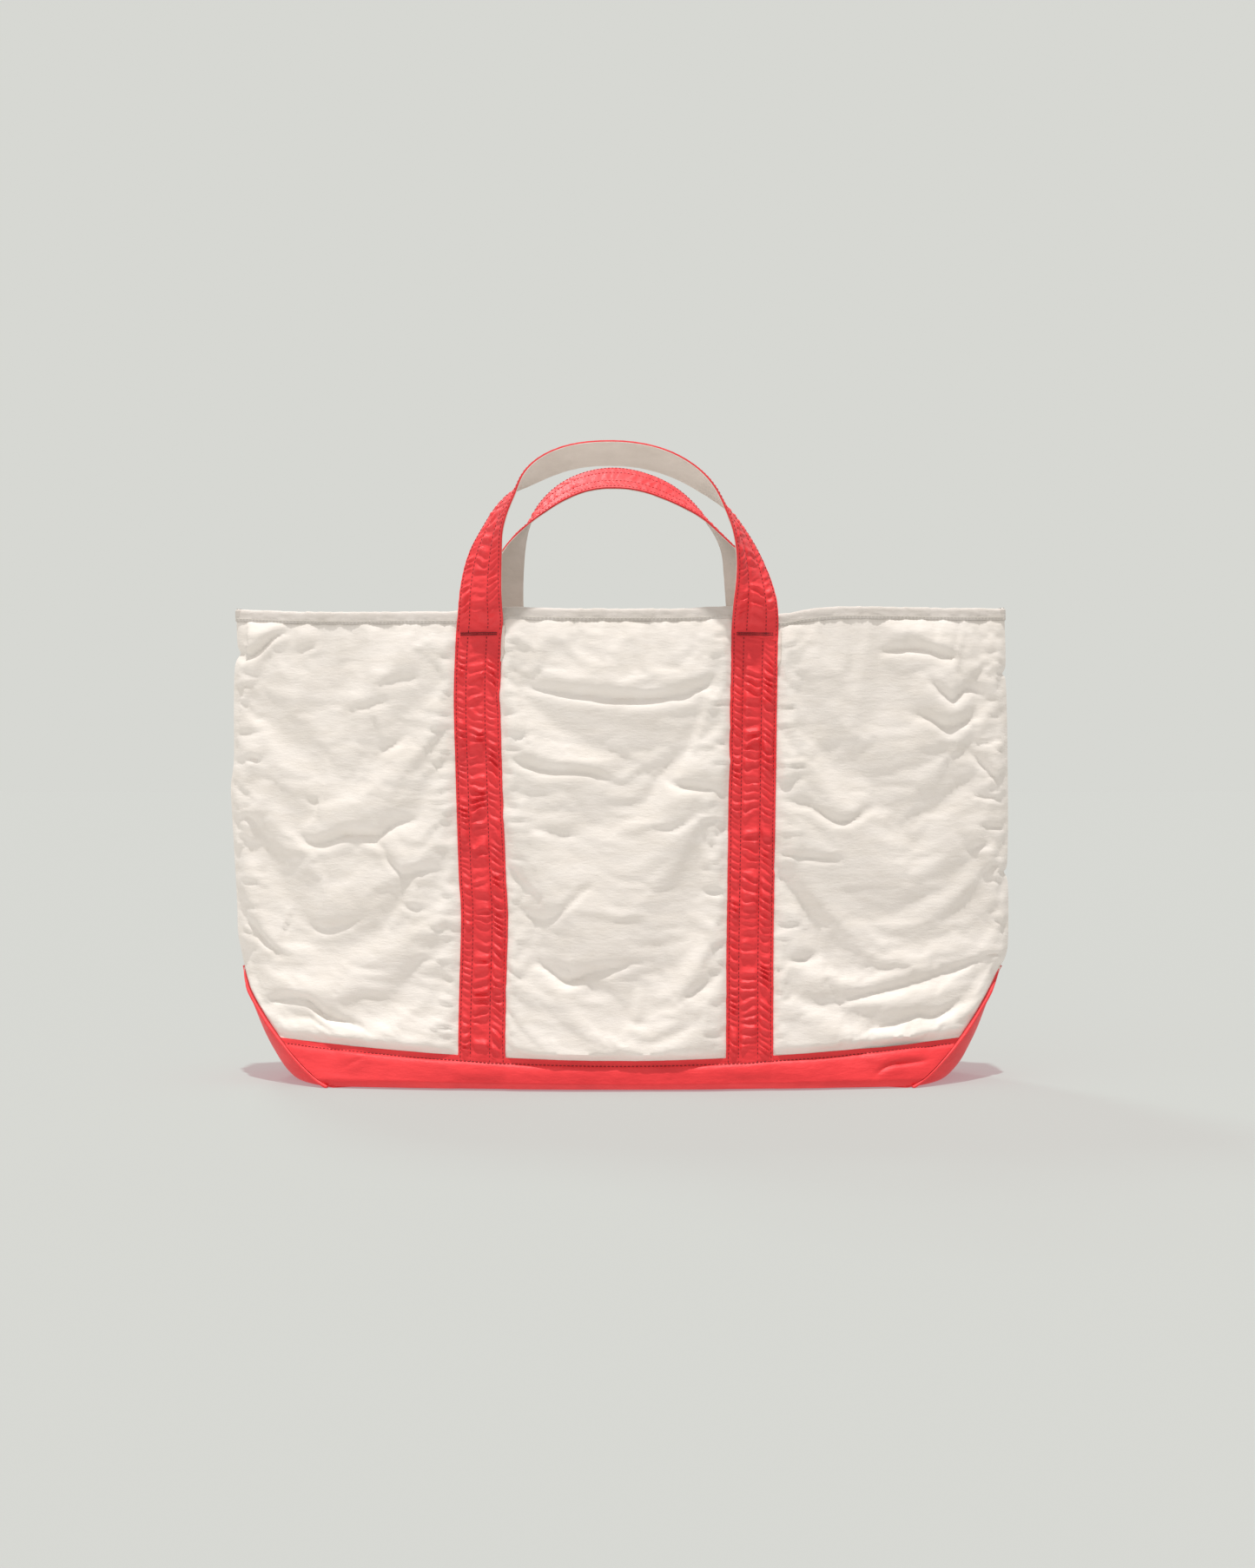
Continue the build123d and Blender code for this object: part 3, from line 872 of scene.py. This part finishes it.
def make_band(wall):
    """The red band over the foot of one wall, with its turned upper edge and topstitching."""
    side, name = wall.side, SIDE_NAMES[wall.side]
    share = np.linspace(-1, 1, 421)[None, :]
    rise = np.linspace(0, 1, 37)[:, None] ** 0.9
    top = band_top(share * CORNER_X * BAND_REACH)
    z = BAND_FOOT_Z + (top - BAND_FOOT_Z) * rise
    x = share * seam_x(z)
    base, normal = wall.sample(x, z)
    over_strap = sum(
        smooth_step(1.4 - np.abs(x - strap_x(side, hand, 0.02)) / (STRAP_WIDTH / 2 + 1 * MM))
        for hand in (-1, 1)
    )
    over_strap = over_strap * smooth_step((z - 6 * MM) / (9 * MM))
    stitch_drop = 4.6 * MM
    hem = np.exp(-(((top - z - stitch_drop) / (1.3 * MM)) ** 2))
    ripple = lattice_noise(x, z, 9, 16, 71 + side) * (0.35 + 0.5 * hem)
    swell = lattice_noise(x, z, 60, 15, 75 + side)
    below = np.maximum(top - z - stitch_drop, 0)
    puff = (1 - np.exp(-below / (2.2 * MM))) * np.clip((z - 1 * MM) / (5 * MM), 0, 1)
    height = 0.45 + 1.2 * over_strap + 0.25 * ripple - 0.25 * hem + (2.5 + 0.7 * swell) * puff
    height *= MM
    for fold in BAND_FOLDS if side < 0 else ():
        add_fold(height, x, z, fold)
    thickness = 0.7 * MM
    outer = base + normal * height[..., None]
    inner = base + normal * (height[..., None] - thickness)
    inwards, foot_z = (
        np.array(row)[:, None] * MM for row in ((6.5, 3.0, 0.9), (1.2, 1.0, 1.4))
    )
    grids = []
    for grid, lift in ((outer, 0), (inner, thickness)):
        grid[..., 2] = np.maximum(grid[..., 2], 0.3 * MM)
        turned_in = np.repeat(grid[:1], 3, 0)
        turned_in[..., 1] = side * np.maximum(side * outer[:1, :, 1] - inwards, SEAM_GAP)
        turned_in[..., 2] = foot_z + lift
        grids.append(np.concatenate([turned_in, grid]))
    band = slab(f"{name}_base_band_cloth", *grids, RED)
    soft(band, "red_nylon", f"{name}_base_band")
    columns = np.arange(z.shape[1])
    row = [nearest(z[:, k], top[0, k] - stitch_drop) for k in columns]
    path = np.pad(outer[row, columns], ((4, 4), (0, 0)), "edge")
    even = np.stack([np.convolve(axis, np.ones(9) / 9, "valid") for axis in path.T], -1)
    even += normal[row, columns] * 0.35 * MM
    stitch = stitches(f"{name}_base_band_stitches", [(even, normal[row, columns])], RED_THREAD)
    soft(stitch, "red_thread")


def make_binding(wall):
    """The gathered tape folded over the rim."""
    side, name = wall.side, SIDE_NAMES[wall.side]
    x = np.linspace(-HALF_LENGTH, HALF_LENGTH, 741)[None, :]
    # The tape's section, out from the middle of the wall's edge and up, in millimetres.
    profile = spline(np.array([
        (3.1, -8.0), (3.35, -6.2), (3.2, -4.4), (3.0, -2.4), (2.8, -0.4), (2.3, 1.1), (1.2, 2.0),
        (0.0, 2.2), (-1.2, 2.0), (-2.3, 1.1), (-2.8, -0.4), (-3.0, -3.0), (-3.2, -5.5),
        (-3.3, -8.0),
    ]) * MM, 34)
    out, up = profile[:, 0:1], profile[:, 1:2]
    middle = form_point(side, x[0], RIM_Z + 0 * x[0])
    normal = form_normal(side, x[0], RIM_Z + 0 * x[0])
    normal[:, 2] = 0
    normal /= np.linalg.norm(normal, axis=1, keepdims=True)
    gather = lattice_noise(x, up * 0.6, 3.6, 9, 91 + side)
    gather = gather + 0.5 * lattice_noise(x + up, up, 7.5, 5, 92 + side)
    loose = np.clip((up + 7 * MM) / (4 * MM), 0, 1)
    rise = rim_rise(x, RIM_Z)
    wave = 0.5 * lattice_noise(x, 0 * x, 60, 1, 93 + side)
    seam_line = np.exp(-(((up + 5.6 * MM) / (1.2 * MM)) ** 2))
    wide = out + np.sign(out) * (gather * 0.36 * (1 - seam_line) - 0.1 * seam_line) * MM * loose
    wide = wide + np.where(out > 0, 0.3 * MM - 0.06 * up, 0) * np.clip(1 - up / (2 * MM), 0, 1)
    high = up + (0.35 * gather * np.clip(up / (2 * MM), 0, 1) + wave) * MM

    def place(inset):
        scale = 1 - inset / (3 * MM)
        grid = middle[None] + normal[None] * (wide * scale - 2.6 * MM)[..., None]
        grid[..., 2] += high - inset * np.clip(up / (2 * MM), 0, 1) + rise
        grid[..., 1] = side * np.maximum(side * grid[..., 1], SEAM_GAP)
        return grid

    outer, inner = place(0.0), place(0.5 * MM)
    binding = slab(f"{name}_rim_tape", outer, inner, TAPE)
    soft(binding, "rim_tape", f"{name}_rim_binding")
    low = nearest(profile[:12, 1], -5.6 * MM)
    rows = [(outer[low] + normal * 0.1 * MM, normal)]
    stitch = stitches(f"{name}_rim_stitches", rows, CREAM_THREAD, radius=0.24 * MM)
    soft(stitch, "rim_tape")


def make_rim_corners():
    """The rim tape where it turns round the top of each side seam, from front to back."""
    for hand, name in HANDS:
        angle = np.linspace(-0.62 * math.pi, 0.62 * math.pi, 41)[None, :]
        up = np.linspace(-8 * MM, 2.25 * MM, 36)[:, None]
        edge = hand * HALF_LENGTH
        gather = lattice_noise(angle * 3 * MM, up * 0.6, 2.4, 6, 330 + hand)
        closing = np.sqrt(np.clip(1 - (np.maximum(up, 0) / (2.3 * MM)) ** 2, 0.01, 1))
        grids = []
        for inset in (0.0, 0.5 * MM):
            radius = (3.1 * MM + 0.25 * MM * gather - inset) * closing
            x = edge - hand * 2.2 * MM + hand * radius * np.cos(angle)
            x += edge_shift(edge, RIM_Z + np.minimum(up, 0))
            y = radius * np.sin(angle) * 0.9
            z = RIM_Z + up - inset * (up > 0) + rim_rise(edge, RIM_Z)
            grids.append(np.stack([x, y, z + 0 * x], -1))
        corner = slab(f"{name}_rim_corner", *grids, TAPE)
        soft(corner, "rim_tape")


def make_side_seams():
    """The taped seam allowances that stand inwards from the two side seams."""
    low, high = (np.array(corner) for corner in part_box("right_seam_tape"))
    for hand, name in HANDS:
        inwards = np.linspace(0, high[0] - low[0], 25)[None, :]
        z = np.linspace(low[2], high[2] - 3 * MM, 241)[:, None]
        inwards, z = np.broadcast_arrays(inwards, z)
        free = inwards / inwards.max()
        gather = lattice_noise(inwards, z, 12, 5, 310 + hand)
        sway = 1.3 * MM * lattice_noise(inwards, z, 60, 45, 312 + hand) * free
        rounded = np.sqrt(np.clip((free.max() - free) / 0.08, 0.02, 1))
        half = (high[1] - 0.25 * MM * (1 - gather) * free) * rounded
        edge = hand * (HALF_LENGTH - 2 * MM)
        x = edge + edge_shift(edge, z) - hand * (inwards - 0.4 * MM * gather * free)
        rise = z + rim_rise(edge, z)
        faces = [np.stack([x, sway + facing * half, rise], -1) for facing in (1, -1)]
        tape = slab(f"{name}_seam_tape_cloth", *faces, TAPE)
        soft(tape, "rim_tape", f"{name}_seam_tape")
        column = nearest(inwards[0], 17 * MM)
        rows = []
        for facing, face in zip((1, -1), faces):
            upright = np.zeros_like(face[:, column]) + (0, facing, 0)
            rows.append((face[:, column], upright))
        stitch = stitches(f"{name}_seam_tape_stitches", rows, CREAM_THREAD)
        soft(stitch, "rim_tape")


# ---- base


def closed_seam_y(z):
    """Half the width of the red end strip, which closes to a point just under the walls' own."""
    return np.maximum(seam_y(z) - seam_y(RED_TOP_Z) * (z / RED_TOP_Z) ** 4, SEAM_GAP)


def boat_grid(inset, lift):
    """The base as one grid, across by t and along from one apex over the floor to the other.

    It lies inset inside the outer face, and nowhere lower than lift.
    """
    t = np.linspace(-1, 1, 81)[:, None]
    rise = np.linspace(0, 1, 56)[None, 1:]
    z_end = RED_TOP_Z * rise**1.3
    bulge = END_BULGE * (1 - z_end / APEX_Z) - 4.2 * MM * np.sin(math.pi * z_end / APEX_Z)
    x_end = seam_x(z_end) + bulge * (1 - t**2)
    shift_left, shift_right = (edge_shift(hand * seam_x(z_end), z_end) for hand in (-1, 1))
    y_end = t * closed_seam_y(z_end)
    half = CORNER_X + END_BULGE * (1 - t**2)
    x_floor = np.linspace(-1, 1, 161)[None, :] * half
    depth = -form_point(-1, np.clip(x_floor, -CORNER_X, CORNER_X), 0 * x_floor)[..., 1]
    y_floor = t * (depth - 7 * MM * np.clip((CORNER_X - np.abs(x_floor)) / (20 * MM), 0, 1))
    x = np.concatenate([(shift_left - x_end)[:, ::-1], x_floor, x_end + shift_right], 1)
    y = np.concatenate([y_end[:, ::-1], y_floor, y_end], 1)
    z_end = np.broadcast_to(z_end, x_end.shape)
    z = np.concatenate([z_end[:, ::-1], 0 * x_floor, z_end], 1)
    points = np.stack([x, y, z + 0.3 * MM], -1)
    guide = np.stack([x, 0 * y, z - 0.09], -1)
    normals = grid_normals(points, guide)
    puff = (1 - t**2) * np.clip(z / (20 * MM), 0, 1) * np.clip((APEX_Z - z) / (25 * MM), 0, 1)
    crumple = lattice_noise(y + 0.3 * x, z, 16, 22, 57)
    height = puff * (0.9 * crumple - 0.6) * MM
    points = points + normals * (height * (inset == 0) - inset)[..., None]
    points[..., 2] = np.maximum(points[..., 2], lift)
    return points


def make_base():
    """The red base panel with its wadding, and the lining above it."""
    outer = boat_grid(0, 0.2 * MM)
    inner = boat_grid(WALL_THICKNESS, WALL_THICKNESS)
    base = slab("base_padded", outer, inner, RED)
    soft(base, "red_nylon", "base_panel", "base_wadding")
    top = boat_grid(LINING_DEPTH + LINING_THICKNESS, LINING_DEPTH + 0.9 * MM)
    under = boat_grid(LINING_DEPTH, LINING_DEPTH + 0.4 * MM)
    lining = slab("base_lining_cloth", top, under, LINING)
    soft(lining, "lining", "base_lining")


def make_ridges():
    """The raised seams from each apex down to the base's corners."""
    points, faces, count = [], [], 0
    turn = np.linspace(0, 2 * math.pi, 16, endpoint=False)
    for hand in (-1, 1):
        for side in (-1, 1):
            z = (RED_TOP_Z - 1 * MM) * np.linspace(0, 1, 90) ** 1.3 + 0.8 * MM
            edge = hand * seam_x(z)
            x = edge + edge_shift(edge, z) + hand * 1.6 * MM
            middle = np.stack([x, side * (closed_seam_y(z) + 0.2 * MM), z], -1)
            along = np.gradient(middle, axis=0)
            along /= np.linalg.norm(along, axis=1, keepdims=True)
            wall_out = form_normal(side, hand * seam_x(z) * 0.995, z)
            end_out = np.array([hand * 0.9, 0, -0.35])
            out = wall_out * 0.75 + end_out
            out -= along * (out * along).sum(1, keepdims=True)
            out /= np.linalg.norm(out, axis=1, keepdims=True)
            across = np.cross(along, out)
            wobble = 1 + 0.18 * lattice_noise(z, z * 0, 9, 1, 63 + hand + 2 * side)
            size = np.clip((RED_TOP_Z - z) / (20 * MM), 0.2, 1) * wobble
            ring = middle[:, None] + size[:, None, None] * (
                np.cos(turn)[None, :, None] * across[:, None] * 1.25 * MM
                + (np.sin(turn)[None, :, None] * 1.5 + 1.1) * out[:, None] * MM
            )
            ring[..., 2] = np.maximum(ring[..., 2], 0.25 * MM)
            points.append(ring.reshape(-1, 3))
            faces += tube_faces(*ring.shape[:2], count)
            count += len(points[-1])
    ridge = new_piece("base_ridge_seams", points, faces, RED)
    soft(ridge, "red_nylon")


# ---- handles


def handle_leg(side, hand, count):
    """One leg of a loop from its foot to the top: middle line, share of the way and turn."""
    angle = np.linspace(0, math.pi / 2, 600)
    power = 2 / HANDLE_POWER[side, hand]
    foot_x, top_x = HANDLE_LEG_X[side, hand], HANDLE_TOP_X[side]
    x = top_x + (foot_x - top_x) * np.maximum(np.cos(angle), 0) ** power
    z = HANDLE_ARCH_Z + (HANDLE_TOP_Z - HANDLE_ARCH_Z) * np.sin(angle) ** power
    x, z = np.concatenate([[foot_x], x]), np.concatenate([[BARTACK_Z - 3 * MM], z])
    run = run_along(np.stack([x, z], -1))
    even = np.linspace(0, run[-1], count)
    share = even / run[-1]
    forward = 5 * MM * np.exp(-(((share - 0.13) / 0.09) ** 2)) * smooth_step(even / (16 * MM))
    y = side * (HANDLE_FOOT_Y + (HANDLE_TOP_Y - HANDLE_FOOT_Y) * share + forward)
    turn = spline(HANDLE_TWIST[side, hand], 300)
    twist = np.interp(share, turn[:, 0], turn[:, 1])
    return np.stack([np.interp(even, run, x), y, np.interp(even, run, z)], -1), twist, even


def handle_line(side, count):
    """A loop from its right foot over the top to its left foot.

    Gives points, directions across, face normals and the way to the nearer foot.
    """
    right, right_twist, right_run = handle_leg(side, 1, count)
    left, left_twist, left_run = handle_leg(side, -1, count)
    points = np.concatenate([right, left[-2::-1]])
    twist = np.concatenate([right_twist, left_twist[-2::-1]])
    from_foot = np.concatenate([right_run, left_run[-2::-1]])
    window = 15
    smoothed = []
    for column in (*points.T, twist):
        padded = np.pad(column, window // 2, mode="reflect", reflect_type="odd")
        smoothed.append(np.convolve(padded, np.ones(window) / window, "valid"))
    points, twist = np.stack(smoothed[:3], -1), np.radians(smoothed[3])
    along = np.gradient(points, axis=0)
    along[:, 1] = 0
    along /= np.linalg.norm(along, axis=1, keepdims=True)
    outward = np.stack([along[:, 2], 0 * twist, -along[:, 0]], -1)
    face = np.array([0, side, 0]) * np.cos(twist)[:, None] + outward * np.sin(twist)[:, None]
    across = np.cross(face, along)
    return points, across, face, from_foot


def handle_surface(wall, line, over, lift):
    """Points of a handle at offsets across it; near its feet it lies on the sewn straps."""
    points, across, face, from_foot = line
    free = points[:, None] + across[:, None] * over[..., None] + face[:, None] * lift[..., None]
    hug = 1 - smooth_step((from_foot - 1 * MM) / (17 * MM))
    result = free.copy()
    for hand in (-1, 1):
        rows = (hug > 0) & (points[:, 0] * hand > 0)
        z = np.repeat(points[rows, 2][:, None], over.shape[1], 1)
        sideways = np.sign(across[rows, 0:1]) * over[rows]
        base, normal = wall.sample(strap_x(wall.side, hand, z) + sideways, z)
        laid = base + normal * (lift[rows] + 1.05 * MM)[..., None]
        share = hug[rows][:, None, None]
        result[rows] = laid * share + free[rows] * (1 - share)
    return result


def ride_handle(piece, side, slot, *nodes):
    """A handle piece: its placement is baked into its mesh, and the CAD nodes it stands for are
    hidden.
    """
    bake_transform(piece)
    if nodes:
        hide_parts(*nodes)


def make_handle(wall):
    """The red strap of one free handle, its cream backing and the stitch rows."""
    side, name = wall.side, SIDE_NAMES[wall.side]
    line = handle_line(side, 211)
    face, from_foot = line[2], line[3]
    run = run_along(line[0])
    wide = np.linspace(-STRAP_WIDTH / 2, STRAP_WIDTH / 2, 45)
    over, along = np.broadcast_arrays(wide[None, :], run[:, None])
    calm = 0.35 + 0.65 * np.exp(-((from_foot / (75 * MM)) ** 2))
    calm *= 0.25 + 0.75 * smooth_step((from_foot - 6 * MM) / (14 * MM))
    relief = strap_relief(over, along, 140 + side) * calm[:, None]
    half, rounding = STRAP_WIDTH / 2, 1.6 * MM
    edge = np.clip((np.abs(over) - half + rounding) / rounding, 0, 1) ** 2
    outer = handle_surface(wall, line, over, 0.55 * MM + relief - 0.3 * MM * edge)
    under = handle_surface(wall, line, over, -(0.35 + 0.75 * edge) * MM)
    strap = slab(f"{name}_handle_cloth", outer, under, RED)
    ride_handle(strap, side, "red_nylon", f"{name}_handle_strap")

    narrow = np.linspace(-half + 0.1 * MM, half - 0.1 * MM, 41)
    over, along = np.broadcast_arrays(narrow[None, :], run[:, None])
    wrinkle = lattice_noise(over, along + 0.4 * over, 14, 5, 160 + side) * 0.16 * MM
    edge = np.clip((np.abs(over) - half + rounding) / (1.5 * MM), 0, 1) ** 2
    backing = slab(
        f"{name}_handle_backing_cloth",
        handle_surface(wall, line, over, -(0.37 + 0.75 * edge) * MM),
        handle_surface(wall, line, over, -1.15 * MM - wrinkle - 0.55 * MM * edge),
        BACKING,
    )
    ride_handle(backing, side, "cream_backing", f"{name}_handle_backing")
    columns = [nearest(wide, row) for row in STITCH_ROWS]
    threads = [(outer[3:-3, column], face[3:-3]) for column in columns]
    stitch = stitches(f"{name}_handle_stitches", threads, RED_THREAD)
    ride_handle(stitch, side, "red_thread")


# ---- light, floor and camera


def make_stage():
    """A pale floor that runs into an equal backdrop, daylight from overhead, and the camera."""
    scene = bpy.context.scene
    scene.view_settings.view_transform = "Standard"
    floor_mesh = bpy.data.meshes.new("floor")
    far = 60
    corners = [(-far, -far, 0), (far, -far, 0), (far, far, 0), (-far, far, 0)]
    floor_mesh.from_pydata(corners, [], [(0, 1, 2, 3)])
    floor = bpy.data.objects.new("floor", floor_mesh)
    scene.collection.objects.link(floor)
    floor.visible_shadow = False  # the bounce light comes up through it
    pale = bpy.data.materials.new("floor_pale")
    pale.use_nodes = True
    shader = pale.node_tree.nodes["Principled BSDF"]
    # The floor glows pink over a greenish base colour: painted light. The lit floor comes out
    # neutral, while its shadows are lifted and tinted pink as painted bounce light from the red
    # base.
    shader.inputs["Base Color"].default_value = (0.158, 0.246, 0.222, 1)
    shader.inputs["Emission Color"].default_value = (0.39, 0.24, 0.257, 1)
    shader.inputs["Emission Strength"].default_value = 1.0
    shader.inputs["Roughness"].default_value = 1
    shader.inputs["Specular IOR Level"].default_value = 0
    floor_mesh.materials.append(pale)

    world = bpy.data.worlds.new("studio")
    scene.world = world
    world.use_nodes = True
    nodes, links = world.node_tree.nodes, world.node_tree.links
    lighting = nodes["Background"]
    lighting.inputs["Color"].default_value = (1.0, 0.97, 0.94, 1)
    lighting.inputs["Strength"].default_value = 0.64
    backdrop = nodes.new("ShaderNodeBackground")
    backdrop.inputs["Color"].default_value = (0.679, 0.686, 0.651, 1)
    ray = nodes.new("ShaderNodeLightPath")
    mix = nodes.new("ShaderNodeMixShader")
    links.new(ray.outputs["Is Camera Ray"], mix.inputs["Fac"])
    links.new(lighting.outputs[0], mix.inputs[1])
    links.new(backdrop.outputs[0], mix.inputs[2])
    links.new(mix.outputs[0], nodes["World Output"].inputs["Surface"])

    for name, strength, spread, towards, colour in (
        ("overhead", 3.0, 1.5, (0.0, 0.175, -0.985), (1.0, 0.995, 0.98)),
        ("front_fill", 0.60, 80, (0.64, 0.60, -0.48), (1.0, 0.99, 0.97)),
        ("back_fill", 0.80, 14, (0.30, -0.62, -0.72), (1.0, 0.99, 0.98)),
        ("floor_bounce", 0.95, 60, (0.08, 0.33, 0.94), (1.0, 0.985, 0.97)),
    ):
        light = bpy.data.lights.new(name, "SUN")
        light.energy = strength
        light.angle = math.radians(spread)
        light.color = colour
        lamp = bpy.data.objects.new(name, light)
        x, y, z = towards
        flat = math.hypot(x, y)
        lamp.rotation_euler = (math.atan2(flat, -z), 0, math.atan2(y, x) - math.pi / 2)
        scene.collection.objects.link(lamp)

    # The lens takes in 1.2642 m of height at the front straps, 1.523 m away.
    distance, seen_height = 1.523, 1.2642
    camera = bpy.data.cameras.new("camera")
    camera.sensor_fit = "VERTICAL"
    camera.sensor_height = 36
    camera.lens = camera.sensor_height * distance / seen_height
    camera.clip_end = 200
    viewer = bpy.data.objects.new("camera", camera)
    viewer.location = (0.006, -1.580, 0.244)
    viewer.rotation_euler = (math.pi / 2, 0, 0)
    scene.collection.objects.link(viewer)
    scene.camera = viewer


# ---- the bag

make_stage()
for bag_side, large_folds, wall_seed in ((-1, FRONT_FOLDS, 11), (1, BACK_FOLDS, 29)):
    pinches = pinch_folds(bag_side, wall_seed + 5)
    bag_wall = make_wall(bag_side, [*large_folds, *pinches], wall_seed)
    make_straps(bag_wall)
    make_band(bag_wall)
    make_binding(bag_wall)
    make_handle(bag_wall)
make_rim_corners()
make_side_seams()
make_base()
make_ridges()
